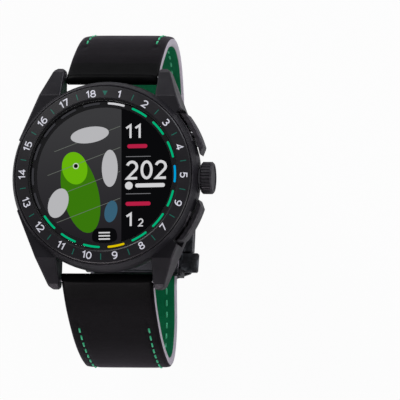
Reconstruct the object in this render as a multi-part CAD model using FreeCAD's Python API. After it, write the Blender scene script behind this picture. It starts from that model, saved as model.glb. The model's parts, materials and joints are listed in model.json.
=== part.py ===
"""Golf GPS watch: round case, rotating crown, two pushers, leather strap and folding clasp.

Frame: origin at the centre of the case back's flat face, +Z out of the crystal, +Y towards
12 o'clock, +X towards the crown. All sizes are in millimetres.
"""
import FreeCAD, Part
import math
import os

V = FreeCAD.Vector

# ---- driving dimensions -------------------------------------------------------------
GAP = 0.02                      # between pieces that sit against each other
RUN = 0.05                      # radial clearance of a piece that turns or slides in a bore

CASE_R = 22.45                  # widest radius of the 45 mm case
RIM_R = 21.6                    # top rim around the bezel
CAVITY_R = 17.2                 # room for the module, open towards the case back
BACK_R = 19.0
BACK_T = 1.2
WINDOW_R = 12.2                 # sensor window in the case back
DOME = 1.1                      # how far the window stands below the flat face
SCREW_CIRCLE_R = 18.1           # case back screws
CONTACT_X = (-3.3, 0.0, 3.3)    # charging contacts
CONTACT_Y = -14.6
BEZEL_R = 21.0
BEZEL_BORE_R = 17.95
SEAT_Z = 10.9                   # the case's top face, under the bezel
CRYSTAL_R = 17.6
CRYSTAL_TOP = 12.75
DISPLAY_R = 17.4

LUG_GAP = 22.6                  # between the lugs, for a 22 mm strap
LUG_W = 2.7                     # width of a lug's tip
PIN_Y = 23.8                    # spring bars
PIN_Z = 3.2
LUG_TIP_Y = 26.1
BAR_R = 0.75
BAR_TIP_R = 0.45

CROWN_Z = 6.3
CROWN_R = 3.8
CROWN_X0 = 22.6
CROWN_X1 = 25.4
CROWN_SEAT_X = 22.05            # flat floor of the case's recess behind the crown
STEM_R = 0.9

PUSHER_ANGLE = 27.5             # each pusher's middle, from the crown's axis
PUSHER_HALF = 14.0              # half of its sweep round the case
PUSHER_R0 = 22.95
PUSHER_R1 = 24.2
PUSHER_Z0 = 3.9
PUSHER_Z1 = 8.7
PUSHER_STEM_R = 0.8

STRAP_W = 22.0                  # at the lugs
STRAP_END_W = 19.3              # at the clasp
STRAP_T = 2.9
STRAP_END_T = 2.2
TAPER_LENGTH = 60.0

CLASP_Y = -3.0                  # the clasp's plates are arcs about this centre
CLASP_Z = 9.5
TAIL_R = 47.0
BASE_R0, BASE_R1 = 48.2, 49.1
TOP_R0, TOP_R1 = 49.4, 50.3
MECH_R0, MECH_R1 = 50.6, 52.4   # room for the buttons, between top blade and cover
STRAP_R = 52.1
COVER_R1 = 53.9
COVER_HALF_W = 11.8
COVER_EDGE_Y = -8.4             # straight edge, towards the strap
COVER_CORNER_Y = -17.4          # from here the outline runs in to a shallow point
COVER_TIP_Y = -21.4
COVER_TIP_HALF_W = 0.6
FOLD_Y = 15.5
FOLD_R = 49.25
STRAP_PIN_Y = -5.5
PIN_COVER = 1.3                 # leather beyond the clasp pin's middle
TAIL_PIVOT_Y = -20.5


# ---- helpers ------------------------------------------------------------------------
def box(x0, x1, y0, y1, z0, z1):
    return Part.makeBox(x1 - x0, y1 - y0, z1 - z0, V(x0, y0, z0))


def rod(radius, start, direction, length):
    return Part.makeCylinder(radius, length, V(*start), V(*direction))


def x_rod(radius, x0, x1, y, z):
    return rod(radius, (x0, y, z), (1, 0, 0), x1 - x0)


def z_disc(radius, z0, z1):
    return rod(radius, (0, 0, z0), (0, 0, 1), z1 - z0)


def z_ring(r0, r1, z0, z1):
    return z_disc(r1, z0, z1).cut(z_disc(r0, z0, z1))


def turned(outline):
    """A solid of revolution about Z from its (radius, z) outline."""
    points = [V(r, 0, z) for r, z in outline]
    face = Part.Face(Part.makePolygon(points + [points[0]]))
    return face.revolve(V(0, 0, 0), V(0, 0, 1), 360)


def prism(points, direction):
    face = Part.Face(Part.makePolygon(points + [points[0]]))
    return face.extrude(direction)


def joined(shapes):
    whole = shapes[0].fuse(shapes[1:])
    return whole.removeSplitter()


def mirrored_x(shape):
    return shape.mirror(V(0, 0, 0), V(1, 0, 0))


def mirrored_y(shape):
    return shape.mirror(V(0, 0, 0), V(0, 1, 0))


def turned_about_z(shape, degrees):
    copy = shape.copy()
    copy.rotate(V(0, 0, 0), V(0, 0, 1), degrees)
    return copy


def coil(wire, coil_r, x0, x1, turns):
    """A compression spring of square wire along +X from x0 to x1, on the X axis."""
    length = x1 - x0 - wire
    half = wire / 2
    helix = Part.makeHelix(length / turns, length, coil_r)
    corners = [
        V(coil_r - half, 0, -half), V(coil_r + half, 0, -half),
        V(coil_r + half, 0, half), V(coil_r - half, 0, half),
    ]
    section = Part.makePolygon(corners + [corners[0]])
    spring = Part.Wire(helix.Edges).makePipeShell([section], True, True)
    spring.rotate(V(0, 0, 0), V(0, 1, 0), 90)
    spring.translate(V(x0 + half, 0, 0))
    return spring


def arc_z(radius, y):
    """Height of the clasp's arc of this radius at this Y."""
    return CLASP_Z - math.sqrt(radius**2 - (y - CLASP_Y) ** 2)


def arc_plate(r0, r1, y0, y1, x0, x1):
    """A plate that follows the wrist between two radii of the clasp's arc."""
    outer = x_rod(r1, x0, x1, CLASP_Y, CLASP_Z)
    inner = x_rod(r0, x0, x1, CLASP_Y, CLASP_Z)
    window = box(x0, x1, y0, y1, CLASP_Z - 60, CLASP_Z - 30)
    return outer.cut(inner).common(window)


def save(node, shape):
    shape.exportStep("parts/" + node + ".step")


# ---- case ---------------------------------------------------------------------------
def lug():
    """The lug at +X, +Y: plan outline cut to its side outline, with its edges rounded."""
    x0 = LUG_GAP / 2
    tip = x0 + LUG_W
    flank_x, flank_y = 20.85, 8.4       # where the flank runs into the round case
    plan = [
        V(x0, flank_y, 0), V(x0, LUG_TIP_Y - 0.5, 0), V(x0 + 0.5, LUG_TIP_Y, 0),
        V(tip - 0.9, LUG_TIP_Y, 0), V(tip - 0.1, LUG_TIP_Y - 0.6, 0),
        V(flank_x, flank_y, 0), V(flank_x - 3, flank_y - 3, 0),
    ]
    side = [
        V(0, 4, 1.3), V(0, 20.0, 0.7), V(0, LUG_TIP_Y - 0.9, 0.9),
        V(0, LUG_TIP_Y, 1.9), V(0, LUG_TIP_Y, 3.9), V(0, LUG_TIP_Y - 1.0, 5.3),
        V(0, 19.2, 9.3), V(0, 4, 10.4),
    ]
    block = prism(plan, V(0, 0, 14)).common(prism(side, V(30, 0, 0)))
    outside_case = [edge for edge in block.Edges if edge.BoundBox.YMax > 13]
    return block.makeFillet(0.45, outside_case)


def pusher_frame(shape, side):
    """Turns a shape built along +X at the crown's height to a pusher's place."""
    return turned_about_z(shape, side * PUSHER_ANGLE)


def pusher_room():
    """The pocket in the lug flanks that a pusher's cap sits and travels in, along +X."""
    half = math.radians(PUSHER_HALF + 1.0)
    far = 30.0
    outline = [
        V(0, 0, 0), V(far * math.cos(half), -far * math.sin(half), 0),
        V(far * math.cos(half), far * math.sin(half), 0),
    ]
    pocket = z_ring(CASE_R + 0.01, far, PUSHER_Z0 - 0.4, SEAT_Z + 2)
    return pocket.common(prism(outline, V(0, 0, 20)))


def mid_case():
    outside = turned([
        (0, 0.5), (19.4, 0.5), (20.7, 1.3), (21.8, 3.6), (CASE_R, 6.2), (CASE_R, 8.2),
        (22.1, 9.8), (RIM_R, 11.2), (RIM_R - 0.15, 11.75), (RIM_R - 0.4, 11.9),
        (BEZEL_R + 0.1, 11.75), (BEZEL_R + 0.1, SEAT_Z), (0, SEAT_Z),
    ])
    right = lug().fuse(mirrored_y(lug()))
    case = joined([outside, right, mirrored_x(right)])
    ledge_r = 16.6
    cavity = turned([
        (0, -1), (BACK_R + 0.05, -1), (BACK_R + 0.05, BACK_T + GAP),
        (CAVITY_R, BACK_T + GAP), (CAVITY_R, 9.0), (ledge_r, 9.0), (ledge_r, 9.9),
        (DISPLAY_R + 0.1, 9.9), (DISPLAY_R + 0.1, 13), (0, 13),
    ])
    crown_seat = x_rod(CROWN_R + 0.3, CROWN_SEAT_X, 30, 0, CROWN_Z)
    bores = [x_rod(1.62, 10, 30, 0, CROWN_Z), crown_seat]
    for side in (1, -1):
        bore = x_rod(PUSHER_STEM_R + RUN, 15, 30, 0, CROWN_Z)
        spring_seat = x_rod(1.5, 20.4, 30, 0, CROWN_Z)
        seal_groove = x_rod(1.22, 18.5, 19.2, 0, CROWN_Z)
        pusher_cuts = (bore, spring_seat, seal_groove, pusher_room())
        bores += [pusher_frame(cut, side) for cut in pusher_cuts]
        for end in (1, -1):
            hole = x_rod(BAR_TIP_R + RUN, 10, 12.9, side * PIN_Y, PIN_Z)
            bores.append(hole if end > 0 else mirrored_x(hole))
    for k in range(4):
        bores.append(turned_about_z(rod(0.42, (SCREW_CIRCLE_R, 0, 0), (0, 0, 1), 3.6), 45 + 90 * k))
    return case.cut([cavity] + bores)


def case_back():
    plate = z_disc(BACK_R, 0, BACK_T)
    spigot = z_ring(16.1, CAVITY_R - 0.05, BACK_T - 0.1, 2.5)
    groove = z_ring(16.7, 18, 1.6, 2.2)
    body = joined([plate, spigot.cut(groove)])
    window = joined([z_disc(WINDOW_R + 0.1, -1, 2), z_disc(13.0, 0.7, 2)])
    holes = [window]
    for k in range(4):
        start = (SCREW_CIRCLE_R, 0, -1)
        screw = joined([rod(0.5, start, (0, 0, 1), 4), rod(0.8, start, (0, 0, 1), 1.5)])
        holes.append(turned_about_z(screw, 45 + 90 * k))
    for x in CONTACT_X:
        holes.append(rod(0.93, (x, CONTACT_Y, -1), (0, 0, 1), 4))
    return body.cut(holes)


def case_back_screws():
    screws = []
    for k in range(4):
        head = rod(0.75, (SCREW_CIRCLE_R, 0, 0.05), (0, 0, 1), 0.43)
        shank = rod(0.4, (SCREW_CIRCLE_R, 0, 0.4), (0, 0, 1), 2.6)
        slot = box(17.2, 19.0, -0.12, 0.12, 0.0, 0.2)
        screws.append(turned_about_z(joined([head, shank]).cut(slot), 45 + 90 * k))
    return Part.makeCompound(screws)


def make_case():
    save("mid_case", mid_case())
    save("case_back", case_back())
    save("case_back_screws", case_back_screws())
    save("case_back_gasket", z_ring(16.74, CAVITY_R - 0.01, 1.65, 2.15))
    groove = z_ring(19.2, 20.1, SEAT_Z, SEAT_Z + 0.42)
    bezel = turned([
        (BEZEL_BORE_R, SEAT_Z + GAP), (BEZEL_R, SEAT_Z + GAP), (BEZEL_R, 11.95),
        (BEZEL_R - 0.25, 12.2), (BEZEL_BORE_R + 0.25, 12.62), (BEZEL_BORE_R, 12.5),
    ])
    save("bezel_ring", bezel.cut(groove))
    save("bezel_gasket", z_ring(19.25, 20.05, SEAT_Z + GAP, SEAT_Z + 0.4))
    save("crystal_gasket", z_ring(CRYSTAL_R + 0.02, BEZEL_BORE_R - 0.02, SEAT_Z + 0.1, 12.3))
    crystal = turned([
        (0, 10.98), (CRYSTAL_R, 10.98), (CRYSTAL_R, CRYSTAL_TOP - 0.3),
        (CRYSTAL_R - 0.3, CRYSTAL_TOP), (0, CRYSTAL_TOP),
    ])
    save("crystal", crystal)
    window = turned([
        (0, -DOME), (4.0, -DOME + 0.1), (8.0, -DOME + 0.42), (WINDOW_R, 0.05),
        (WINDOW_R, 0.74), (12.9, 0.74), (12.9, 1.18), (0, 1.18),
    ])
    save("sensor_window", window)
    pads = [rod(0.9, (x, CONTACT_Y, GAP), (0, 0, 1), 1.6) for x in CONTACT_X]
    save("charging_contacts", Part.makeCompound(pads))


# ---- module inside the case -----------------------------------------------------------
def make_module():
    save("display_module", z_disc(DISPLAY_R, 9.92, 10.95))
    save("antenna_ring", z_ring(15.7, 16.55, 8.95, 9.88))
    ring = z_ring(15.9, 17.1, 2.7, 8.85)
    floor = z_ring(8.0, 16.0, 2.7, 3.2)
    side_room = box(10.9, 20, -13, 13, 3.3, 9)
    chassis = joined([ring, floor]).cut(side_room)
    save("chassis_frame", chassis)
    save("battery", box(-11.5, 0.5, -10.5, 10.5, 3.25, 7.1))
    board = z_disc(15.6, 8.0, 8.6).cut(box(10.5, 20, -14, 14, 7, 9))
    save("main_board", board)
    save("processor_shield", box(-7, 4, -5.5, 5.5, 7.2, 7.98))
    save("haptic_motor", rod(3.3, (5.0, -11.0, 3.25), (0, 0, 1), 2.6))
    cable = joined([
        box(-3, 3, -14.9, -12.5, 8.62, 8.74),
        box(-3, 3, -14.9, -14.78, 8.62, 9.9),
        box(-3, 3, -14.9, -12.5, 9.78, 9.9),
    ])
    save("display_cable", cable)
    sensor_board = z_disc(12.0, 1.7, 2.2)
    emitters = [turned_about_z(box(3.4, 5.4, -1, 1, 1.25, 1.75), 90 * k) for k in range(4)]
    save("sensor_board", joined([sensor_board] + emitters))
    switches = []
    for side in (1, -1):
        body = box(13.0, 14.9, -1.8, 1.8, CROWN_Z - 1.3, CROWN_Z + 1.3)
        plunger = x_rod(0.5, 14.8, 15.7, 0, CROWN_Z)
        switches.append(pusher_frame(joined([body, plunger]), side))
    save("pusher_switches", Part.makeCompound(switches))


# ---- crown ----------------------------------------------------------------------------
def crown_knob():
    knob = x_rod(CROWN_R, CROWN_X0, CROWN_X1, 0, CROWN_Z)
    rims = [edge for edge in knob.Edges if edge.Curve.TypeId == "Part::GeomCircle"]
    knob = knob.makeChamfer(0.35, rims)
    flutes = []
    for k in range(30):
        flute = x_rod(0.24, CROWN_X0 - 1, CROWN_X1 - 0.45, 0, CROWN_Z + CROWN_R + 0.06)
        flute.rotate(V(0, 0, CROWN_Z), V(1, 0, 0), 12 * k)
        flutes.append(flute)
    recess = x_rod(2.75, CROWN_X0 - 1, CROWN_X0 + 1.0, 0, CROWN_Z)
    tube_room = x_rod(1.75, CROWN_X0 - 1, CROWN_X0 + 1.2, 0, CROWN_Z)
    stem_hole = x_rod(STEM_R + GAP, CROWN_X0 - 1, CROWN_X1 - 0.9, 0, CROWN_Z)
    face_dish = x_rod(2.9, CROWN_X1 - 0.15, CROWN_X1 + 1, 0, CROWN_Z)
    return knob.cut(flutes + [recess, tube_room, stem_hole, face_dish])


def make_crown():
    flange_x = CROWN_SEAT_X + GAP
    flange = x_rod(2.5, flange_x, flange_x + 0.4, 0, CROWN_Z)
    tube = joined([x_rod(1.6, 17.35, CROWN_X0 + 0.2, 0, CROWN_Z), flange])
    bore = x_rod(STEM_R + RUN, 10, 30, 0, CROWN_Z)
    groove = x_rod(1.27, 20.0, 20.6, 0, CROWN_Z)
    save("crown_tube", tube.cut([bore, groove]))
    seal = x_rod(1.25, 20.05, 20.55, 0, CROWN_Z).cut(x_rod(STEM_R + 0.03, 20, 21, 0, CROWN_Z))
    save("crown_seal", seal)
    save("crown", crown_knob())
    save("crown_stem", x_rod(STEM_R, 13.5, CROWN_X1 - 1.0, 0, CROWN_Z))
    clip = x_rod(1.5, 16.85, 17.2, 0, CROWN_Z).cut(x_rod(STEM_R + GAP, 16, 18, 0, CROWN_Z))
    save("crown_clip", clip)
    wheel = x_rod(2.0, 14.6, 15.4, 0, CROWN_Z)
    cuts = [x_rod(STEM_R + RUN, 14, 16, 0, CROWN_Z)]
    for k in range(8):
        slot = box(14, 16, -0.18, 0.18, CROWN_Z + 1.35, CROWN_Z + 3)
        slot.rotate(V(0, 0, CROWN_Z), V(1, 0, 0), 45 * k)
        cuts.append(slot)
    save("encoder_wheel", wheel.cut(cuts))
    plunger = x_rod(0.5, 12.5, 12.97, 0, CROWN_Z)
    save("crown_switch", joined([box(11.2, 12.6, -1.6, 1.6, 5.0, 7.6), plunger]))
    save("crown_sensor", box(13.4, 15.6, -1.2, 1.2, 3.3, 4.15))


# ---- pushers --------------------------------------------------------------------------
def pusher_cap():
    """The cap along +X: a bar bent round the case, its ends sloping in towards the front."""
    bar = z_ring(PUSHER_R0, PUSHER_R1, PUSHER_Z0, PUSHER_Z1)
    end_slope = 4.0
    reach = 3.0
    edges = []
    for sign in (1, -1):
        far = math.radians(sign * PUSHER_HALF)
        near = math.radians(sign * (PUSHER_HALF - end_slope))
        inner = V(PUSHER_R0 * math.cos(far), PUSHER_R0 * math.sin(far), 0)
        outer = V(PUSHER_R1 * math.cos(near), PUSHER_R1 * math.sin(near), 0)
        along = (outer - inner).normalize()
        edges.append((inner, inner + along * reach))
    (inner_a, outer_a), (inner_b, outer_b) = edges
    outline = [V(10, 0, 0), inner_b, outer_b, outer_a, inner_a]
    cap = bar.common(prism(outline, V(0, 0, 20)))
    front = [e for e in cap.Edges if e.Curve.TypeId == "Part::GeomCircle" and e.Curve.Radius > 24]
    return cap.makeChamfer(0.35, front)


def make_pushers():
    cap = pusher_cap().cut(x_rod(PUSHER_STEM_R + GAP, 20, 23.42, 0, CROWN_Z))
    stem = x_rod(PUSHER_STEM_R, 16.2, 23.4, 0, CROWN_Z)
    clip = x_rod(1.3, 16.7, 17.0, 0, CROWN_Z).cut(x_rod(PUSHER_STEM_R + GAP, 16, 18, 0, CROWN_Z))
    seal = x_rod(1.2, 18.55, 19.15, 0, CROWN_Z)
    seal = seal.cut(x_rod(PUSHER_STEM_R + 0.03, 18, 20, 0, CROWN_Z))
    spring = coil(0.26, 1.18, 20.45, 22.9, 4)
    spring.translate(V(0, 0, CROWN_Z))
    pieces = {"cap": cap, "stem": stem, "clip": clip, "seal": seal, "spring": spring}
    for name, side in (("upper", 1), ("lower", -1)):
        for piece, shape in pieces.items():
            save(name + "_pusher_" + piece, pusher_frame(shape, side))


# ---- strap ----------------------------------------------------------------------------
def strap_path(points):
    curve = Part.BSplineCurve()
    curve.interpolate([V(0, y, z) for y, z in points])
    return curve


def upper_path():
    """The 12 o'clock strap's middle line, from its spring bar to just past its clasp pin."""
    sides = [
        (PIN_Y, PIN_Z), (29.4, -3.2), (34.2, -11.6), (35.5, -21.5), (32.4, -29.4), (25.0, -35.2),
    ]
    stops = (16.0, 9.0, 2.0, STRAP_PIN_Y, STRAP_PIN_Y - PIN_COVER)
    return strap_path(sides + [(y, arc_z(STRAP_R, y)) for y in stops])


def lower_path():
    """The 6 o'clock strap's middle line, from its spring bar to where it enters the clasp."""
    return strap_path([
        (-PIN_Y, PIN_Z), (-30.6, -3.4), (-37.2, -13.8), (-40.4, -25.0), (-37.8, -31.7),
        (-30.5, -34.5), (TAIL_PIVOT_Y, arc_z(TAIL_R, TAIL_PIVOT_Y)),
    ])


def ribbon(curve, stations, side):
    """A strap layer lofted through stations (length along the path, low, high).

    low and high are the layer's faces as shares of half the strap's thickness, -1 on the
    wrist side and 1 on the outside. side is 1 for the 12 o'clock strap and -1 for the
    other, so that outwards stays outwards.
    """
    sections = []
    for length, low, high in stations:
        at = curve.parameterAtDistance(length)
        point = curve.value(at)
        along = curve.tangent(at)[0]
        out = V(0, -along.z, along.y) * side
        taper = min(length / TAPER_LENGTH, 1.0)
        half_w = (STRAP_W + (STRAP_END_W - STRAP_W) * taper) / 2
        half_t = (STRAP_T + (STRAP_END_T - STRAP_T) * taper) / 2
        inner = point + out * (low * half_t)
        outer = point + out * (high * half_t)
        wide = V(half_w, 0, 0)
        corners = [inner - wide, inner + wide, outer + wide, outer - wide]
        sections.append(Part.makePolygon(corners + [corners[0]]))
    return Part.makeLoft(sections, True, True)


def evenly(start, end, low, high, steps):
    """Stations from one length to another, both ends included."""
    return [(start + (end - start) * k / steps, low, high) for k in range(steps + 1)]


def strap_layers(name, curve, end, side, end_pin):
    """Leather and lining of one strap: full leather up to the step, then two layers."""
    step = 5.0
    y, z = curve.value(curve.FirstParameter).y, PIN_Z
    eye = x_rod(STRAP_T / 2, -STRAP_W / 2, STRAP_W / 2, y, z)
    stations = evenly(0.0, step, -0.97, 0.97, 5) + evenly(step + 0.1, end, -0.25, 0.97, 26)
    leather = joined([eye, ribbon(curve, stations, side)])
    leather = leather.cut(x_rod(BAR_R + RUN, -20, 20, y, z))
    lining = ribbon(curve, evenly(step + 0.15, end, -0.97, -0.3, 26), side)
    if end_pin:
        pin_y, pin_z = end_pin
        leather = leather.cut(x_rod(0.65, -20, 20, pin_y, pin_z))
        lining = lining.cut(x_rod(0.65, -20, 20, pin_y, pin_z))
    save(name + "_leather", leather)
    save(name + "_lining", lining)


def strap_tail():
    """The end of the long strap, on the wrist side of the clasp, with a pointed tip."""
    y0, y1 = TAIL_PIVOT_Y + 1.5, 8.0
    half_w = STRAP_END_W / 2
    half_t = STRAP_END_T / 2
    tip = 6.0
    outline = [
        V(-half_w, y0, -60), V(half_w, y0, -60), V(half_w, y1 - tip, -60), V(3.2, y1, -60),
        V(-3.2, y1, -60), V(-half_w, y1 - tip, -60),
    ]
    plan = prism(outline, V(0, 0, 40))
    split = TAIL_R - 0.26 * half_t
    leather = arc_plate(split + GAP, TAIL_R + half_t, y0, y1, -half_w, half_w)
    lining = arc_plate(TAIL_R - half_t, split, y0, y1, -half_w, half_w)
    save("strap_tail_leather", leather.common(plan))
    save("strap_tail_lining", lining.common(plan))


def make_strap():
    upper = upper_path()
    lower = lower_path()
    pin_y, pin_z = STRAP_PIN_Y, arc_z(STRAP_R, STRAP_PIN_Y)
    strap_layers("strap_upper", upper, upper.length(), 1, (pin_y, pin_z))
    strap_layers("strap_lower", lower, lower.length() - 1.5, -1, None)
    strap_tail()
    save("strap_pin", x_rod(0.6, -11.2, 11.2, pin_y, pin_z))
    bars = []
    tips = []
    for y in (PIN_Y, -PIN_Y):
        bar = x_rod(BAR_R, -11.0, 11.0, y, PIN_Z)
        sockets = [x_rod(BAR_TIP_R + GAP, x0, x0 + 4.5, y, PIN_Z) for x0 in (-12.0, 7.5)]
        bars.append(bar.cut(sockets))
        tips += [x_rod(BAR_TIP_R, x0, x0 + 5.1, y, PIN_Z) for x0 in (7.6, -12.7)]
    save("spring_bars", Part.makeCompound(bars))
    save("spring_bar_tips", Part.makeCompound(tips))


# ---- clasp ----------------------------------------------------------------------------
def both_sides(shape):
    return [shape, mirrored_x(shape)]


def make_clasp_base():
    fold_z = arc_z(FOLD_R, FOLD_Y)
    clamp_y, clamp_z = -18.2, arc_z(45.05, -18.2)
    blade = arc_plate(BASE_R0, BASE_R1, -19.0, FOLD_Y, -8, 8)
    wings = arc_plate(BASE_R0, BASE_R1, -19.0, -17.2, -10.9, 10.9)
    cheek = arc_plate(44.3, 48.7, -19.0, -17.2, 10.1, 10.9)
    knuckle = x_rod(1.3, 4.2, 7.0, FOLD_Y, fold_z)
    post = arc_plate(BASE_R0 + 0.2, 51.0, -16.2, -13.8, -1.3, 1.3)
    lip = arc_plate(50.9, 51.4, -16.2, -13.8, -1.9, 1.9)
    room = x_rod(1.5, -4.1, 4.1, FOLD_Y, fold_z)
    base = joined([blade, wings, post, lip] + both_sides(cheek)).cut(room)
    base = joined([base] + both_sides(knuckle))
    pin_hole = x_rod(0.5 + GAP, -20, 20, FOLD_Y, fold_z)
    clamp_hole = x_rod(0.4 + GAP, -20, 20, clamp_y, clamp_z)
    save("clasp_base_blade", base.cut([pin_hole, clamp_hole]))
    save("fold_pin", x_rod(0.5, -6.9, 6.9, FOLD_Y, fold_z))
    save("clamp_pin", x_rod(0.4, -10.8, 10.8, clamp_y, clamp_z))
    leaf = arc_plate(44.7, 45.4, clamp_y, -11.5, -9.9, 9.9)
    barrel = x_rod(0.72, -9.9, 9.9, clamp_y, clamp_z)
    flap = joined([leaf, barrel]).cut(x_rod(0.4 + RUN, -20, 20, clamp_y, clamp_z))
    save("clamp_flap", flap)


def make_clasp_cover():
    fold_z = arc_z(FOLD_R, FOLD_Y)
    pin_z = arc_z(STRAP_R, STRAP_PIN_Y)
    plan = prism([
        V(-COVER_HALF_W, COVER_EDGE_Y, -60), V(COVER_HALF_W, COVER_EDGE_Y, -60),
        V(COVER_HALF_W, COVER_CORNER_Y, -60), V(COVER_TIP_HALF_W, COVER_TIP_Y, -60),
        V(-COVER_TIP_HALF_W, COVER_TIP_Y, -60), V(-COVER_HALF_W, COVER_CORNER_Y, -60),
    ], V(0, 0, 40))
    plate = arc_plate(MECH_R1, COVER_R1, -22, -8, -12, 12).common(plan)
    fork = arc_plate(MECH_R0, COVER_R1, -12.2, -2.6, 9.9, 12.0)
    nose = arc_plate(MECH_R0, MECH_R1 + 0.1, -20.4, -17.9, -7, 7).common(plan)
    outer_edges = [edge for edge in plate.Edges if edge.BoundBox.ZMin < arc_z(COVER_R1 - 0.2, -21.2)]
    plate = plate.makeChamfer(0.3, outer_edges)
    cover = joined([plate, nose] + both_sides(fork))
    pocket = x_rod(0.95, 9.5, 11.4, STRAP_PIN_Y, pin_z)
    save("clasp_cover", cover.cut(both_sides(pocket)))

    blade = arc_plate(TOP_R0, TOP_R1, -17.0, FOLD_Y, -7, 7)
    slot = box(-2.9, 2.9, -18, -12.9, -60, -20)
    stand = arc_plate(TOP_R1 - 0.1, MECH_R1 - GAP, -13.9, -9.6, 4.2, 5.8)
    room = [x_rod(1.5, 4.1, 7.1, FOLD_Y, fold_z), x_rod(1.5, -7.1, -4.1, FOLD_Y, fold_z)]
    top = joined([blade] + both_sides(stand)).cut([slot] + room)
    top = joined([top, x_rod(1.3, -4.0, 4.0, FOLD_Y, fold_z)])
    save("clasp_top_blade", top.cut(x_rod(0.5 + RUN, -20, 20, FOLD_Y, fold_z)))


def make_clasp_buttons():
    pad = arc_plate(MECH_R0 + 0.1, MECH_R1 - 0.15, -17.3, -12.6, 9.4, 13.6)
    side_edges = [e for e in pad.Edges if abs(e.BoundBox.XMin - 13.6) < 0.01]
    pad = pad.makeChamfer(0.3, side_edges)
    bar = arc_plate(MECH_R0 + 0.1, 51.5, -15.8, -14.2, 2.9, 9.5)
    button = joined([pad, bar])
    spring = coil(0.2, 0.5, 5.85, 9.35, 5)
    spring.translate(V(0, -13.25, arc_z(51.35, -13.25)))
    save("right_button", button)
    save("left_button", mirrored_x(button))
    save("right_button_spring", spring)
    save("left_button_spring", mirrored_x(spring))


os.makedirs("parts", exist_ok=True)
make_case()
make_module()
make_crown()
make_pushers()
make_strap()
make_clasp_base()
make_clasp_cover()
make_clasp_buttons()
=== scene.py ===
import json
import math

import bpy
import bmesh
from mathutils import Matrix, Vector


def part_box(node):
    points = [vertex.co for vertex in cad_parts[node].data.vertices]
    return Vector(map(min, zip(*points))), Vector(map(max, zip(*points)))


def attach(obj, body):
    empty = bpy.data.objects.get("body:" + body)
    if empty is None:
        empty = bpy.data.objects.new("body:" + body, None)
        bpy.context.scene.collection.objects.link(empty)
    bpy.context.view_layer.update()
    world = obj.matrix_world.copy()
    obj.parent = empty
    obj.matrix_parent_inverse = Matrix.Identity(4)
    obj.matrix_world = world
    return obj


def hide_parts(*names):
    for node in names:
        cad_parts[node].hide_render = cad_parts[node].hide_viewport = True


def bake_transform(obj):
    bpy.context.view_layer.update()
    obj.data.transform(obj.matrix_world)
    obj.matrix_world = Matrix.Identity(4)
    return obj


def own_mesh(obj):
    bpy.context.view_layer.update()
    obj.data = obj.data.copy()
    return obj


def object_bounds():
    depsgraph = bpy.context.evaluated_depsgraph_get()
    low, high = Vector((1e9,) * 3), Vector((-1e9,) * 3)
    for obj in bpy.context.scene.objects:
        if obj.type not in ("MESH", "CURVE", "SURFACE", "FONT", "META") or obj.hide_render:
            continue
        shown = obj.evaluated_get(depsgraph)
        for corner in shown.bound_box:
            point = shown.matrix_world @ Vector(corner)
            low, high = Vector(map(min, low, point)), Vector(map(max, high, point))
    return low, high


# The looks of the golf GPS watch around its CAD frame. Shapes are drawn in millimetres.

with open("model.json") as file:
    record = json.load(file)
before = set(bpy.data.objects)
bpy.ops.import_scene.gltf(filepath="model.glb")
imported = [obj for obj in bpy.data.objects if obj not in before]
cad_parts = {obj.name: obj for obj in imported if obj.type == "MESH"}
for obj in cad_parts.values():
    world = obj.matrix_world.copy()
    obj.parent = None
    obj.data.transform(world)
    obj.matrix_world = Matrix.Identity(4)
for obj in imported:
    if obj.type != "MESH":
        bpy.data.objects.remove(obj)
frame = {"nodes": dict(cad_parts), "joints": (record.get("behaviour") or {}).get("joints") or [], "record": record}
cad_box = [list(corner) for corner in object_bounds()]

MM = 0.001
TAU = 2 * math.pi


# ---- sizes read from the frame ----
def high(node):
    """A node's highest corner, in millimetres."""
    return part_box(node)[1] / MM


GLASS_R = high("crystal").x
GLASS_TOP = high("crystal").z
SCREEN_Z = high("display_module").z
BEZEL_TOP = high("bezel_ring").z
JOINTS = {joint["name"]: joint for joint in frame["joints"]}


def pivot(joint):
    """A hinge's place in the watch's side view, as (Y, Z) in millimetres."""
    x, y, z = JOINTS[joint]["pos_m"]
    return y / MM, z / MM


# ---- colours (linear) ----
def srgb(r, g, b):
    """A display colour, 0 to 255, as linear RGBA."""
    def channel(v):
        v = v / 255
        return v / 12.92 if v <= 0.04045 else ((v + 0.055) / 1.055) ** 2.4
    return (channel(r), channel(g), channel(b), 1.0)


def tint(colour, factor, lift=0.0):
    """A colour made lighter or darker by a factor, and then lifted a little."""
    return tuple(min(1.0, c * factor + lift) for c in colour[:3]) + (1.0,)


WHITE = (1.0, 1.0, 1.0, 1.0)
CASE_BLACK = srgb(33, 31, 37)
CASE_WORN = srgb(120, 112, 120)
BEZEL_BLACK = srgb(30, 28, 33)
BEZEL_CLOUD = srgb(44, 40, 46)
NUMERAL_WHITE = srgb(222, 222, 232)
TICK_TEAL = srgb(22, 108, 92)
LEATHER_BLACK = srgb(10, 8, 11)
LEATHER_SHEEN = srgb(120, 108, 124)
# the strap's roll over the spring bar: its near-black, darker than the leather, is painted shade under the lugs
WRAP_PAINTED_SHADE = srgb(3, 3, 4)
WRAP_SHEEN = srgb(60, 56, 68)
LINING_GREEN = srgb(0, 106, 66)
LINING_SHEEN = srgb(10, 130, 84)
EDGE_GREY = srgb(214, 205, 217)
EDGE_SHADE = srgb(186, 175, 190)
EDGE_LIGHT = srgb(232, 227, 234)
THREAD_GREEN = srgb(40, 240, 165)
LINING_THREAD = srgb(70, 220, 160)


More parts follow.
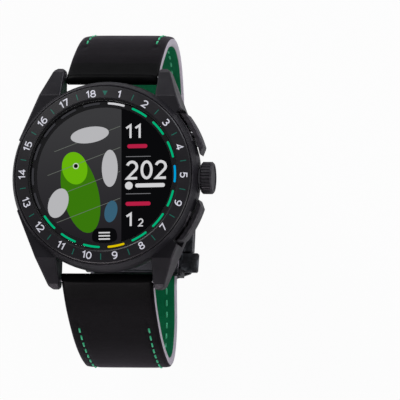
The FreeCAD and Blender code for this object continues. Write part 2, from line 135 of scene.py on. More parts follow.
# ---- node helpers ----
class Nodes:
    """Builds one material's nodes. A value may be plain or another node's output."""

    def __init__(self, name):
        self.material = bpy.data.materials.new(name)
        self.material.use_nodes = True
        self.tree = self.material.node_tree
        self.tree.nodes.clear()
        self.output = self.add("ShaderNodeOutputMaterial")
        self.place = self.add("ShaderNodeTexCoord").outputs["Object"]

    def add(self, kind, **values):
        """A new node, with values for its inputs or its own settings by name."""
        node = self.tree.nodes.new(kind)
        for name, value in values.items():
            if name in node.inputs:
                node.inputs[name].default_value = value
            else:
                setattr(node, name, value)
        return node

    def feed(self, socket, value):
        """Link an input to another node's output, or give it a plain value."""
        if hasattr(value, "node"):
            self.tree.links.new(value, socket)
        else:
            socket.default_value = value

    def surface(self, shader):
        """Put a shader on the surface, and give back the finished material."""
        self.feed(self.output.inputs["Surface"], shader)
        return self.material

    def noise(self, scale, detail=3.0, roughness=0.5, stretch=None):
        """Cloudy noise. Scale counts per metre, and stretch gives each axis a factor of its own."""
        node = self.add("ShaderNodeTexNoise", Scale=scale, Detail=detail, Roughness=roughness)
        place = self.place
        if stretch:
            mapping = self.add("ShaderNodeMapping", Scale=stretch)
            self.feed(mapping.inputs["Vector"], place)
            place = mapping.outputs["Vector"]
        self.feed(node.inputs["Vector"], place)
        return node.outputs["Fac"]

    def cells(self, scale, feature="F1"):
        node = self.add("ShaderNodeTexVoronoi", feature=feature, Scale=scale)
        self.feed(node.inputs["Vector"], self.place)
        return node

    def ramp(self, value, stops):
        """A colour for each value, through stops of (position, colour)."""
        node = self.add("ShaderNodeValToRGB")
        points = node.color_ramp.elements
        while len(points) < len(stops):
            points.new(0.5)
        for point, (position, colour) in zip(points, stops):
            point.position = position
            point.color = colour
        self.feed(node.inputs["Fac"], value)
        return node.outputs["Color"]

    def remap(self, value, source, target):
        """The range source, (start, end), stretched onto the range target."""
        node = self.add("ShaderNodeMapRange", **{
            "From Min": source[0], "From Max": source[1], "To Min": target[0], "To Max": target[1],
        })
        self.feed(node.inputs["Value"], value)
        return node.outputs["Result"]

    def mix(self, share, a, b):
        """Colour a turning into b as share goes from 0 to 1."""
        node = self.add("ShaderNodeMix", data_type="RGBA")
        for index, value in ((0, share), (6, a), (7, b)):  # the inputs of a colour mix
            self.feed(node.inputs[index], value)
        return node.outputs[2]

    def mix_shaders(self, share, a, b):
        node = self.add("ShaderNodeMixShader")
        for socket, value in zip(node.inputs, (share, a, b)):
            self.feed(socket, value)
        return node.outputs[0]

    def maths(self, operation, *values):
        node = self.add("ShaderNodeMath", operation=operation)
        for socket, value in zip(node.inputs, values):
            self.feed(socket, value)
        return node.outputs[0]

    def bump(self, height, distance, strength, normal=None):
        """Relief of a distance in millimetres, on top of an earlier normal if given."""
        node = self.add("ShaderNodeBump", Strength=strength, Distance=distance * MM)
        self.feed(node.inputs["Height"], height)
        if normal:
            self.feed(node.inputs["Normal"], normal)
        return node.outputs["Normal"]

    def round_edges(self, radius):
        """Edges that look rounded to a radius in millimetres."""
        return self.add("ShaderNodeBevel", samples=4, Radius=radius * MM).outputs["Normal"]

    def principled(self, colour, roughness, normal=None, **values):
        """The material with Blender's main shader, with values for its inputs by name."""
        node = self.add("ShaderNodeBsdfPrincipled")
        values = {"Base Color": colour, "Roughness": roughness, **values}
        if normal:
            values["Normal"] = normal
        for name, value in values.items():
            self.feed(node.inputs[name], value)
        return self.surface(node.outputs["BSDF"])


NOISE_SPREAD = (0.3, 0.7)  # most of a noise's values lie between these


# ---- materials: metal, ceramic and glass ----
def blasted_metal(name, colour):
    """Black-coated metal: fine blasted grain, smoky variation and slightly worn edges."""
    n = Nodes(name)
    grain = n.noise(9000, 2.0)
    smoke = n.noise(160, 4.0)
    wear = n.noise(1400)
    base = n.mix(n.remap(smoke, (0.35, 0.75), (0.0, 0.35)), colour, tint(colour, 1.9, 0.012))
    sharpness = n.add("ShaderNodeNewGeometry").outputs["Pointiness"]
    rim = n.remap(sharpness, (0.52, 0.60), (0.0, 0.25))
    rim = n.maths("MULTIPLY", rim, n.remap(wear, (0.4, 0.6), (0.3, 1.0)))
    base = n.mix(rim, base, CASE_WORN)
    roughness = n.remap(smoke, NOISE_SPREAD, (0.37, 0.49))
    normal = n.bump(grain, 0.004, 0.35, n.round_edges(0.16))
    return n.principled(base, roughness, normal, Metallic=0.35)


def brushed_metal(name, colour, rough, direction=(60, 3000, 3000)):
    """Metal with fine lines along X and a cloudy polish."""
    n = Nodes(name)
    lines = n.noise(1.0, 3.0, 0.6, direction)
    smoke = n.noise(220)
    base = n.mix(n.remap(lines, NOISE_SPREAD, (0.0, 0.5)), colour, tint(colour, 1.5))
    roughness = n.remap(smoke, NOISE_SPREAD, (rough - 0.06, rough + 0.1))
    normal = n.bump(lines, 0.006, 0.5, n.round_edges(0.08))
    return n.principled(base, roughness, normal, Metallic=0.9)


def ceramic(name, colour):
    """Satin black ceramic with faint clouds and hairline marks."""
    n = Nodes(name)
    smoke = n.noise(300, 4.0)
    scratch = n.noise(1.0, 2.0, 0.7, (250, 4200, 900))
    base = n.mix(n.remap(smoke, (0.3, 0.8), (0.0, 0.5)), colour, BEZEL_CLOUD)
    roughness = n.remap(scratch, (0.35, 0.75), (0.36, 0.46))
    normal = n.bump(scratch, 0.001, 0.25, n.round_edges(0.12))
    return n.principled(base, roughness, normal, **{"Coat Weight": 0.08, "Coat Roughness": 0.3})


def sapphire(name):
    """Coated glass: clear face on, with a soft reflection at a slant."""
    n = Nodes(name)
    clear = n.add("ShaderNodeBsdfTransparent", Color=WHITE)
    shine = n.add("ShaderNodeBsdfGlossy", Color=WHITE)
    n.feed(shine.inputs["Roughness"], n.remap(n.noise(240), NOISE_SPREAD, (0.03, 0.07)))
    slant = n.add("ShaderNodeLayerWeight", Blend=0.5).outputs["Facing"]
    share = n.remap(slant, (0.25, 1.0), (0.0, 0.35))
    return n.surface(n.mix_shaders(share, clear.outputs[0], shine.outputs[0]))


def dark_glass(name):
    """Near-black glass with an even gloss."""
    n = Nodes(name)
    cloud = n.noise(300)
    base = n.mix(n.remap(cloud, NOISE_SPREAD, (0.0, 0.6)), srgb(10, 10, 12), srgb(22, 18, 26))
    roughness = n.remap(cloud, NOISE_SPREAD, (0.05, 0.1))
    return n.principled(base, roughness, **{"Coat Weight": 1.0})


def forged_carbon(name):
    """Chopped-fibre laminate: flakes and smaller chips, each with its own grey."""
    n = Nodes(name)
    warp = n.remap(n.noise(380), NOISE_SPREAD, (0.6, 1.3))
    flakes = n.maths("MULTIPLY", n.cells(520).outputs["Color"], 0.6)
    chips = n.maths("MULTIPLY", n.cells(1250).outputs["Color"], 0.4)
    tone = n.maths("ADD", flakes, chips)
    greys = [
        (0.1, srgb(14, 14, 16)),
        (0.35, srgb(34, 35, 38)),
        (0.6, srgb(62, 64, 68)),
        (0.85, srgb(112, 115, 120)),
    ]
    colour = n.ramp(n.maths("MULTIPLY", tone, warp), greys)
    roughness = n.remap(tone, (0.1, 0.9), (0.42, 0.22))
    normal = n.bump(tone, 0.01, 0.35, n.round_edges(0.2))
    return n.principled(colour, roughness, normal, **{"Coat Weight": 0.35, "Coat Roughness": 0.2})


# ---- materials: leather, thread, plastic and screen ----
def leather(name, colour, sheen, rough, pebble, depth, soft, gloss):
    """Smooth calf leather: pebbled grain, creases, slight mottling and a soft sheen.

    pebble counts the grain per metre, depth is its relief in mm, and soft and gloss are the
    strengths of the sheen and of the reflection."""
    n = Nodes(name)
    coarse = n.cells(pebble, "DISTANCE_TO_EDGE").outputs["Distance"]
    fine = n.cells(pebble * 2.7, "DISTANCE_TO_EDGE").outputs["Distance"]
    grain = n.maths("ADD", n.remap(coarse, (0.0, 0.12), (0.0, 1.0)), n.remap(fine, (0.0, 0.12), (0.0, 0.4)))
    mottle = n.noise(130, 5.0, 0.6)
    crease = n.noise(1.0, 4.0, 0.6, (90, 520, 520))
    base = n.mix(n.remap(mottle, (0.3, 0.75), (0.0, 0.7)), colour, tint(colour, 1.7, 0.006))
    # darker along the crease lines: painted shade in the creases
    base = n.mix(n.remap(crease, (0.5, 0.8), (0.0, 0.35)), base, tint(colour, 0.6))
    roughness = n.remap(mottle, (0.25, 0.75), (rough - 0.06, rough + 0.1))
    normal = n.bump(crease, 0.08, 0.35, n.bump(grain, depth, 0.4))
    return n.principled(base, roughness, normal, **{
        "Sheen Weight": soft, "Sheen Tint": sheen, "Sheen Roughness": 0.35, "Specular IOR Level": gloss,
    })


def edge_paint(name):
    """Waxed strap edge, with the layers showing through as fine lines."""
    n = Nodes(name)
    layers = n.noise(1.0, 4.0, 0.6, (5200, 260, 260))
    blot = n.noise(500)
    base = n.mix(n.remap(layers, NOISE_SPREAD, (0.0, 0.7)), EDGE_GREY, EDGE_SHADE)
    base = n.mix(n.remap(blot, (0.55, 0.8), (0.0, 0.4)), base, EDGE_LIGHT)
    return n.principled(base, 0.5, n.bump(layers, 0.02, 0.5), **{"Sheen Weight": 0.2})


def thread(name, colour):
    """Waxed thread: two twisted plies with loose fibres."""
    n = Nodes(name)
    twist = n.add("ShaderNodeTexWave", bands_direction="DIAGONAL", Scale=1500.0, Distortion=2.0)
    n.feed(twist.inputs["Vector"], n.place)
    plies = twist.outputs["Fac"]
    fibre = n.noise(6000)
    # darker in the grooves between the plies: painted shade
    base = n.mix(n.remap(plies, (0.0, 0.6), (0.0, 1.0)), tint(colour, 0.45), colour)
    base = n.mix(n.remap(fibre, (0.5, 0.8), (0.0, 0.4)), base, tint(colour, 1.6, 0.02))
    return n.principled(base, 0.55, n.bump(plies, 0.05, 0.7), **{"Sheen Weight": 0.4})


def moulded(name, colour, rough, grain=2600):
    """Moulded plastic or rubber: fine spark texture and a little variation."""
    n = Nodes(name)
    spark = n.noise(grain)
    base = n.mix(n.remap(n.noise(200), NOISE_SPREAD, (0.0, 0.5)), colour, tint(colour, 1.4, 0.004))
    roughness = n.remap(spark, NOISE_SPREAD, (rough - 0.08, rough + 0.08))
    return n.principled(base, roughness, n.bump(spark, 0.01, 0.5, n.round_edges(0.06)))


def circuit(name):
    """Solder mask in two greens, with fine pale tracks between its blocks."""
    n = Nodes(name)
    tracks = n.add("ShaderNodeTexBrick", **{
        "Scale": 420.0,
        "Color1": srgb(10, 58, 34),
        "Color2": srgb(16, 74, 44),
        "Mortar": srgb(96, 104, 52),
        "Mortar Size": 0.012,
    })
    n.feed(tracks.inputs["Vector"], n.place)
    return n.principled(tracks.outputs["Color"], 0.35, n.bump(tracks.outputs["Fac"], 0.01, 0.5))


def printed(name, colour, glow):
    """Filled numerals and ticks, with a trace of surface grain and a painted glow: the fill is no lamp."""
    n = Nodes(name)
    grain = n.noise(5200, 2.0)
    base = n.mix(n.remap(grain, (0.35, 0.65), (0.0, 0.3)), colour, tint(colour, 0.8))
    # the emission is a painted glow that lifts the fill; the fill is no lamp
    values = {"Emission Color": colour, "Emission Strength": glow}
    return n.principled(base, 0.4, n.bump(grain, 0.004, 0.3), **values)


PIXEL = 0.1


def lit(name, colour, strength=0.92, far_colour=None):
    """A lit area of the display, with its pixel grid. It may turn into far_colour towards +Y."""
    n = Nodes(name)
    place = n.add("ShaderNodeSeparateXYZ")
    n.feed(place.inputs["Vector"], n.place)
    grid = []
    for axis in ("X", "Y"):
        wave = n.maths("SINE", n.maths("MULTIPLY", place.outputs[axis], TAU / (PIXEL * MM)))
        grid.append(n.remap(wave, (-1.0, 1.0), (0.9, 1.0)))
    share = n.remap(place.outputs["Y"], (-15 * MM, 14 * MM), (0.0, 1.0))
    emission = n.add("ShaderNodeEmission")
    n.feed(emission.inputs["Color"], n.mix(share, colour, far_colour or colour))
    n.feed(emission.inputs["Strength"], n.maths("MULTIPLY", n.maths("MULTIPLY", *grid), strength))
    return n.surface(emission.outputs[0])


# ---- mesh helpers: everything below is drawn in millimetres ----
def add_object(name, data):
    """A new object in the scene, from its mesh, light or camera data."""
    thing = bpy.data.objects.new(name, data)
    bpy.context.scene.collection.objects.link(thing)
    return thing


class Shape:
    """The points and faces of one piece. A face's region is its material's number."""

    def __init__(self):
        self.points = []
        self.faces = []
        self.regions = []

    def add(self, points, faces, region=0):
        base = len(self.points)
        self.points.extend(Vector(point) for point in points)
        for face in faces:
            self.faces.append([base + corner for corner in face])
            self.regions.append(region)

    def slab(self, outline, faces, place, thickness, region=0):
        """A flat outline given real thickness: its top face lies in place's XY plane."""
        count = len(outline)
        top = [place @ Vector((x, y, 0.0)) for x, y in outline]
        bottom = [place @ Vector((x, y, -thickness)) for x, y in outline]
        edges = [pair for face in faces for pair in zip(face, face[1:] + face[:1])]
        known = set(edges)
        walls = [(b, a, a + count, b + count) for a, b in edges if (b, a) not in known]
        under = [[corner + count for corner in reversed(face)] for face in faces]
        self.add(top + bottom, list(faces) + under + walls, region)

    def plate(self, outline, place, thickness, region=0):
        """A slab with one face, as wide as its outline."""
        self.slab(outline, [list(range(len(outline)))[::-1]], place, thickness, region)

    def build(self, name, materials, body="head", smooth=False):
        """The finished piece, riding on a body unless body is None."""
        mesh = bpy.data.meshes.new(name)
        mesh.from_pydata([point * MM for point in self.points], [], self.faces)
        for material in materials:
            mesh.materials.append(material)
        mesh.polygons.foreach_set("material_index", self.regions)
        mesh.polygons.foreach_set("use_smooth", [smooth] * len(self.faces))
        outward = bmesh.new()
        outward.from_mesh(mesh)
        bmesh.ops.recalc_face_normals(outward, faces=outward.faces)
        outward.to_mesh(mesh)
        outward.free()
        piece = add_object(name, mesh)
        if body:
            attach(piece, body)
        return piece


def bow(centre, radii, start, end, steps=20):
    """Part of an ellipse, from one angle to another in degrees, anticlockwise from +X."""
    angles = [math.radians(start + (end - start) * k / steps) for k in range(steps + 1)]
    return [(centre[0] + radii[0] * math.cos(a), centre[1] + radii[1] * math.sin(a)) for a in angles]


def clock_arc(radius, start, end, steps):
    """Points on a circle about the watch's middle, angles clockwise from 12 o'clock in degrees."""
    angles = [math.radians(start + (end - start) * k / steps) for k in range(steps + 1)]
    return [(radius * math.sin(a), radius * math.cos(a)) for a in angles]


def disc(centre, radius):
    return [(centre[0] + radius * x, centre[1] + radius * y) for x, y in clock_arc(1, 0, 345, 23)]


def oval(centre, radii, turn):
    """An ellipse turned anticlockwise by an angle in degrees."""
    a = math.radians(turn)
    return [
        (centre[0] + x * math.cos(a) - y * math.sin(a), centre[1] + x * math.sin(a) + y * math.cos(a))
        for x, y in bow((0, 0), radii, 0, 350, 35)
    ]


def rectangle(left, right, bottom, top):
    return [(left, bottom), (right, bottom), (right, top), (left, top)]


def rounded_bar(left, right, y, height):
    """A bar with round ends and its middle at y."""
    r = height / 2
    return bow((right - r, y), (r, r), -90, 90, 8) + bow((left + r, y), (r, r), 90, 270, 8)


def curve_point(a, b, c, d, t):
    """A smooth curve from b to c at a share t, shaped by its neighbours a and d."""
    bend = (2 * a - 5 * b + 4 * c - d) * t ** 2 + (3 * b - a - 3 * c + d) * t ** 3
    return 0.5 * (2 * b + (c - a) * t + bend)


def closed_curve(points, steps=8):
    """A smooth closed outline through a few points."""
    curve = []
    for i in range(len(points)):
        stops = [Vector(points[(i + k) % len(points)]) for k in (-1, 0, 1, 2)]
        curve.extend(curve_point(*stops, step / steps) for step in range(steps))
    return [(p.x, p.y) for p in curve]


def tube_faces(rings, sides):
    """The faces of a closed tube of rings of points: its two ends, then its sides."""
    faces = [tuple(range(sides))[::-1], tuple(range((rings - 1) * sides, rings * sides))]
    for k in range(rings - 1):
        for j in range(sides):
            here = k * sides + j
            after = k * sides + (j + 1) % sides
            faces.append((here, after, after + sides, here + sides))
    return faces


LATHE_STEPS = 256


def lathe(shape, profile):
    """A closed solid turned about +Z, from a profile of (radius, z) that starts and ends at radius 0."""
    ring = profile[1:-1]
    size = len(ring)
    points = [Vector((0, 0, profile[0][1])), Vector((0, 0, profile[-1][1]))]
    faces = []
    for k in range(LATHE_STEPS):
        a = TAU * k / LATHE_STEPS
        points.extend(Vector((r * math.cos(a), r * math.sin(a), z)) for r, z in ring)
        here = 2 + k * size
        there = 2 + (k + 1) % LATHE_STEPS * size
        faces.append((0, there, here))
        faces.append((1, here + size - 1, there + size - 1))
        faces.extend((here + j, there + j, there + j + 1, here + j + 1) for j in range(size - 1))
    shape.add(points, faces)


# ---- figures ----
# Each is a few pen strokes, one unit high. A stroke is a list of points.
FIGURES = {
    "0": [bow((0.3, 0.5), (0.3, 0.5), 0, 360)],
    "1": [[(0.0, 0.78), (0.26, 1.0), (0.26, 0.0)]],
    "2": [bow((0.3, 0.71), (0.3, 0.29), 165, -38) + [(0.0, 0.0), (0.62, 0.0)]],
    "3": [bow((0.28, 0.76), (0.26, 0.24), 150, -90), bow((0.28, 0.26), (0.31, 0.26), 90, -150)],
    "4": [[(0.46, 0.0), (0.46, 1.0), (0.0, 0.28), (0.66, 0.28)]],
    "5": [[(0.56, 1.0), (0.1, 1.0), (0.06, 0.52)] + bow((0.28, 0.31), (0.3, 0.31), 128, -145)],
    "6": [bow((0.3, 0.3), (0.3, 0.3), 0, 360), bow((0.42, 0.36), (0.42, 0.64), 72, 178)],
    "7": [[(0.0, 1.0), (0.6, 1.0), (0.2, 0.0)]],
    "8": [bow((0.3, 0.76), (0.25, 0.24), 0, 360), bow((0.3, 0.26), (0.3, 0.26), 0, 360)],
    "9": [bow((0.3, 0.7), (0.3, 0.3), 0, 360), bow((0.18, 0.64), (0.42, 0.64), -108, -2)],
}
FIGURE_GAP = 0.3
SHARPEST_MITRE = 0.45  # keeps a stroke's sharp corners from spiking


def pen_stroke(points, weight):
    """A stroke as a ribbon of constant width, mitred at its corners: outline points and faces."""
    line = [Vector(point) for point in points]
    closed = (line[0] - line[-1]).length < 1e-6
    if closed:
        line.pop()
    count = len(line)
    left, right = [], []
    for k, here in enumerate(line):
        before = line[k - 1] if k or closed else here - (line[1] - here)
        after = line[(k + 1) % count] if k < count - 1 or closed else here + (here - line[k - 1])
        into, out = (here - before).normalized(), (after - here).normalized()
        side = Vector((-into.y - out.y, into.x + out.x)).normalized()
        reach = weight / 2 / max(side.dot(Vector((-into.y, into.x))), SHARPEST_MITRE)
        left.append(here + side * reach)
        right.append(here - side * reach)
    last = count if closed else count - 1
    faces = [[k, (k + 1) % count, count + (k + 1) % count, count + k][::-1] for k in range(last)]
    return left + right, faces


def figure_width(figure):
    return max(x for stroke in FIGURES[figure] for x, y in stroke)


def text_width(figures, height):
    """The natural width of some figures at a height."""
    return height * (sum(map(figure_width, figures)) + FIGURE_GAP * (len(figures) - 1))


def draw_figures(shape, figures, box, weight, place, thickness, region=0):
    """Figures drawn to fill a box (left, right, bottom, top) with a pen of some width."""
    left, right, bottom, top = box
    strokes = []
    pen = 0.0
    for figure in figures:
        strokes.extend([(pen + x, y) for x, y in stroke] for stroke in FIGURES[figure])
        pen += figure_width(figure) + FIGURE_GAP
    start = min(x for stroke in strokes for x, y in stroke)
    end = max(x for stroke in strokes for x, y in stroke)
    across = (right - left - weight) / (end - start)
    upward = top - bottom - weight
    for stroke in strokes:
        line = [
            (left + weight / 2 + (x - start) * across, bottom + weight / 2 + y * upward)
            for x, y in stroke
        ]
        outline, faces = pen_stroke(line, weight)
        shape.slab([(p.x, p.y) for p in outline], faces, place, thickness, region)


# ---- finishes on the CAD parts ----
FINISHES = {
    "black_case": blasted_metal("black_case", CASE_BLACK),
    "black_steel_back": brushed_metal("black_steel_back", srgb(52, 51, 56), 0.34),
    "bezel_ceramic": ceramic("bezel_ceramic", BEZEL_BLACK),
    "rubber_seal": moulded("rubber_seal", srgb(24, 24, 26), 0.7, grain=4200),
    "sapphire": sapphire("sapphire"),
    "display_glass": dark_glass("display_glass"),
    "flex_film": moulded("flex_film", srgb(190, 118, 30), 0.35, grain=900),
    "module_plastic": moulded("module_plastic", srgb(38, 38, 42), 0.5),
    "battery_foil": brushed_metal("battery_foil", srgb(168, 170, 174), 0.4, direction=(900, 900, 900)),
    "circuit_board": circuit("circuit_board"),
    "shield_steel": brushed_metal("shield_steel", srgb(160, 160, 164), 0.32),
    "spring_steel": brushed_metal("spring_steel", srgb(150, 150, 154), 0.26),
    "contact_gold": brushed_metal("contact_gold", srgb(205, 166, 88), 0.22),
    "strap_leather": leather(
        "strap_leather", LEATHER_BLACK, LEATHER_SHEEN,
        rough=0.46, pebble=1500, depth=0.03, soft=0.8, gloss=0.05,
    ),
    "strap_lining": leather(
        "strap_lining", LINING_GREEN, LINING_SHEEN,
        rough=0.6, pebble=1300, depth=0.025, soft=0.12, gloss=0.12,
    ),
    "forged_carbon": forged_carbon("forged_carbon"),
    "clasp_steel": brushed_metal("clasp_steel", srgb(58, 57, 62), 0.28),
}

for part in frame["record"]["subparts"]:
    mesh = frame["nodes"][part["node"]].data
    mesh.materials.clear()
    mesh.materials.append(FINISHES[part["material_slot"]])

# the window over the sensors is tinted, unlike the crystal it shares a slot with
frame["nodes"]["sensor_window"].data.materials[0] = FINISHES["display_glass"]


# ---- bezel markings ----
BEZEL_SLOPE = math.radians(9.35)  # the ring falls away outwards
SLOPE_START_R = 18.2
NUMERAL_R = 19.3
NUMERAL_H = 1.8
NUMERAL_PEN = 0.27
LOWER_NUMERALS = range(6, 14)  # these have their tops towards the centre
TICK_INNER, TICK_OUTER = 18.65, 20.1
TICK_W = 0.2
MARKER = [(0.0, -0.6), (0.62, 0.55), (-0.62, 0.55)]  # the triangle at 12
HOLES = 18  # the ring counts a round of golf
STEP = 360 / HOLES
INLAY = 0.05  # depth of the filled markings
PROUD = 0.012


def on_bezel(radius, angle):
    """The ring's face at a clock angle: X along the ring, Y outwards, Z up from the face."""
    a = math.radians(angle)
    z = BEZEL_TOP - (radius - SLOPE_START_R) * math.tan(BEZEL_SLOPE) + PROUD
    place = Matrix.Translation((radius * math.sin(a), radius * math.cos(a), z))
    return place @ Matrix.Rotation(-a, 4, "Z") @ Matrix.Rotation(-BEZEL_SLOPE, 4, "X")


def make_numerals():
    numerals = Shape()
    for number in range(1, HOLES + 1):
        figures = str(number)
        half = text_width(figures, NUMERAL_H) / 2 + NUMERAL_PEN / 2
        box = (-half, half, -NUMERAL_H / 2, NUMERAL_H / 2)
        place = on_bezel(NUMERAL_R, STEP * (number - 0.5))
        if number in LOWER_NUMERALS:
            place = place @ Matrix.Rotation(math.pi, 4, "Z")
        draw_figures(numerals, figures, box, NUMERAL_PEN, place, INLAY)
    # 0.35 is the numerals' painted glow
    piece = numerals.build("bezel_numerals", [printed("numeral_fill", NUMERAL_WHITE, 0.35)])


def make_ticks():
    ticks = Shape()
    half_length = (TICK_OUTER - TICK_INNER) / 2
    tick = rectangle(-TICK_W / 2, TICK_W / 2, -half_length, half_length)
    for k in range(1, HOLES):
        ticks.plate(tick, on_bezel((TICK_INNER + TICK_OUTER) / 2, STEP * k), INLAY)
    ticks.plate(MARKER, on_bezel(NUMERAL_R, 0), INLAY)
    # 0.25 is the ticks' painted glow
    piece = ticks.build("bezel_ticks", [printed("tick_fill", TICK_TEAL, 0.25)])


# ---- screen ----
SCREEN_TURN = math.radians(1.4)  # the display is set slightly askew to the bezel
MAP_R = 16.0
PANEL_R = 16.25
PANEL_X = 4.2  # the info panel's left side
LIFT = 0.01  # from the display's face to its first drawn layer
LAYER = 0.025  # from one drawn layer to the next
LAYER_T = 0.015
LAYERS = (
    "ground", "fairway", "green", "contours", "sand", "pond", "pin", "pin_hole", "panel", "print",
)


class Drawing(Shape):
    """Flat lit shapes on the display. lamps holds their materials by name."""

    def __init__(self, lamps):
        super().__init__()
        self.lamps = lamps

    def region(self, lamp):
        return list(self.lamps).index(lamp)

    def draw(self, outline, layer, lamp):
        self.plate(outline, on_screen(layer), LAYER_T, self.region(lamp))

    def finish(self, name):
        self.build(name, list(self.lamps.values()))


def on_screen(layer):
    height = SCREEN_Z + LIFT + LAYER * (LAYERS.index(layer) + 1)
    return Matrix.Translation((0, 0, height)) @ Matrix.Rotation(SCREEN_TURN, 4, "Z")


# the score ring: one segment a hole, the next in white, played ones in colour, the rest unlit
SEGMENT_R = 17.0
SEGMENT_W = 0.5
SEGMENT_ARC = 12.2  # in degrees, without the round ends
SEGMENTS = (
    ["white"] + ["green"] * 3 + ["blue"] + ["green"] * 3 + ["yellow"] + ["green"] * 3 + ["unlit"] * 6
)


def segment_outline(start, end):
    """An arc of the score ring with round ends."""
    half = SEGMENT_W / 2
    caps = []
    for angle, turn in ((end, 0), (start, 180)):
        middle = math.radians(angle)
        swings = [math.radians(angle + turn + swing) for swing in (30, 60, 90, 120, 150)]
        x, y = SEGMENT_R * math.sin(middle), SEGMENT_R * math.cos(middle)
        caps.append([(x + half * math.sin(a), y + half * math.cos(a)) for a in swings])
    outer = clock_arc(SEGMENT_R + half, start, end, 12)
    inner = clock_arc(SEGMENT_R - half, end, start, 12)
    return outer + caps[0] + inner + caps[1]


def make_score_ring():
    ring = Drawing({
        "white": lit("segment_white", srgb(225, 225, 228)),
        "green": lit("segment_green", srgb(0, 190, 130)),
        "blue": lit("segment_blue", srgb(0, 170, 232)),
        "yellow": lit("segment_yellow", srgb(238, 208, 0)),
        "unlit": lit("segment_unlit", srgb(62, 62, 66)),
    })
    for hole, colour in enumerate(SEGMENTS):
        middle = STEP * (hole + 0.5)
        ring.draw(segment_outline(middle - SEGMENT_ARC / 2, middle + SEGMENT_ARC / 2), "print", colour)
    ring.finish("screen_score_ring")


# a plain golf hole made of ovals: layer and lamp, centre, half-axes, turn in degrees
OVALS = (
    ("sand", (-3.4, 9.6), (4.6, 1.9), 8),
    ("sand", (-10.9, -6.4), (2.3, 3.6), -20),
    ("sand", (1.4, 1.6), (1.9, 4.4), 0),
    ("fairway", (-5.6, -4.2), (4.3, 9.6), 14),
    ("green", (-7.0, 1.8), (3.0, 3.9), 14),
    ("pond", (1.7, -8.6), (1.5, 2.6), -12),
)
PIN = (-6.7, 2.3)
PIN_RADII = {"pin": 0.72, "pin_hole": 0.5}
CONTOUR_W = 0.11
CONTOUR_SLANT = math.radians(20)
CONTOUR_MIDDLES = (-9.0, -3.4, 2.2, 7.8)
CONTOUR_DROP = 2.0  # from a contour's middle to its left end
CONTOUR_SHARE = 0.85  # of the map's half width, to the left end
MAP_MARGIN = 0.3


def contour(middle_y):
    """One slanting distance line, cut short where it would leave the map."""
    reach = CONTOUR_SHARE * math.sqrt(MAP_R ** 2 - middle_y ** 2)
    right = PANEL_X - MAP_MARGIN
    start = Vector((-reach, middle_y - CONTOUR_DROP))
    end = Vector((right, start.y + (right + reach) * math.tan(CONTOUR_SLANT)))
    if end.length > MAP_R - MAP_MARGIN:
        end = start + (end - start) * 0.6
    side = Vector((-math.sin(CONTOUR_SLANT), math.cos(CONTOUR_SLANT))) * CONTOUR_W / 2
    return [(p.x, p.y) for p in (start - side, end - side, end + side, start + side)]


def make_map():
    chart = Drawing({
        "ground": lit("map_ground", srgb(36, 34, 38), 1.0, srgb(62, 62, 64)),
        "sand": lit("map_sand", srgb(198, 198, 201)),
        "fairway": lit("map_fairway", srgb(62, 128, 14)),
        "green": lit("map_green", srgb(112, 194, 14)),
        "contours": lit("map_contour", srgb(118, 124, 116)),
        "pin": lit("map_pin", srgb(215, 228, 205)),
        "pin_hole": lit("map_pin_hole", srgb(16, 16, 18)),
        "pond": lit("map_water", srgb(60, 104, 128)),
    })
    corner = math.degrees(math.asin(PANEL_X / MAP_R))
    chart.draw(clock_arc(MAP_R, 180 - corner, 360 + corner, 72), "ground", "ground")
    for layer, centre, radii, turn in OVALS:
        chart.draw(oval(centre, radii, turn), layer, layer)
    for middle_y in CONTOUR_MIDDLES:
        chart.draw(contour(middle_y), "contours", "contours")
    for layer, radius in PIN_RADII.items():
        chart.draw(disc(PIN, radius), layer, layer)
    chart.finish("screen_map")


# the info panel: each group of figures has a box (left, right, bottom, top) and a pen
PANEL_FIGURES = (
    ("11", (5.1, 8.8, 8.4, 11.9), 0.5),
    ("202", (5.3, 15.15, -1.2, 3.3), 0.64),
    ("1", (5.2, 6.7, -12.4, -9.0), 0.5),
    ("2", (8.2, 9.5, -12.3, -10.4), 0.28),
)
CAPTIONS = (  # plain bars in the place of words: left, right, y, lamp
    (5.6, 10.4, 6.7, "crimson"),
    (7.5, 14.6, -2.6, "white"),
    (5.2, 11.2, -6.9, "crimson"),
)
CAPTION_H = 0.95
ICON, ICON_R = (6.0, -2.6), 0.92
RULE_LEFT, RULE_RIGHT, RULE_W = 5.3, 11.2, 0.14
RULES_Y = (4.25, -4.55)
MENU_TAB = [(-2.3, -12.9), (0.1, -12.5), (2.7, -12.9), (3.0, -15.4), (0.1, -16.0), (-2.6, -15.4)]
MENU_LEFT, MENU_RIGHT, MENU_W = -1.2, 1.5, 0.32
MENU_Y = (-13.6, -14.35, -15.1)


def make_info_panel():
    panel = Drawing({
        "black": lit("panel_black", srgb(12, 12, 14)),
        "white": lit("panel_white", srgb(228, 228, 230)),
        "crimson": lit("panel_crimson", srgb(196, 34, 74)),
        "rule": lit("panel_rule", srgb(132, 132, 136)),
    })
    corner = math.degrees(math.asin(PANEL_X / PANEL_R))
    panel.draw(clock_arc(PANEL_R, corner, 180 - corner, 48), "panel", "black")
    panel.draw(closed_curve(MENU_TAB), "panel", "black")
    for y in MENU_Y:
        panel.draw(rectangle(MENU_LEFT, MENU_RIGHT, y - MENU_W / 2, y + MENU_W / 2), "print", "white")
    for y in RULES_Y:
        panel.draw(rectangle(RULE_LEFT, RULE_RIGHT, y - RULE_W / 2, y + RULE_W / 2), "print", "rule")
    panel.draw(disc(ICON, ICON_R), "print", "white")
    for figures, box, weight in PANEL_FIGURES:
        draw_figures(panel, figures, box, weight, on_screen("print"), LAYER_T, panel.region("white"))
    for left, right, y, lamp in CAPTIONS:
        panel.draw(rounded_bar(left, right, y, CAPTION_H), "print", lamp)
    panel.finish("screen_info")


CRYSTAL_GAP = 0.35  # room under the crystal for the drawn layers
POLISH = 0.12  # the crystal's bevel


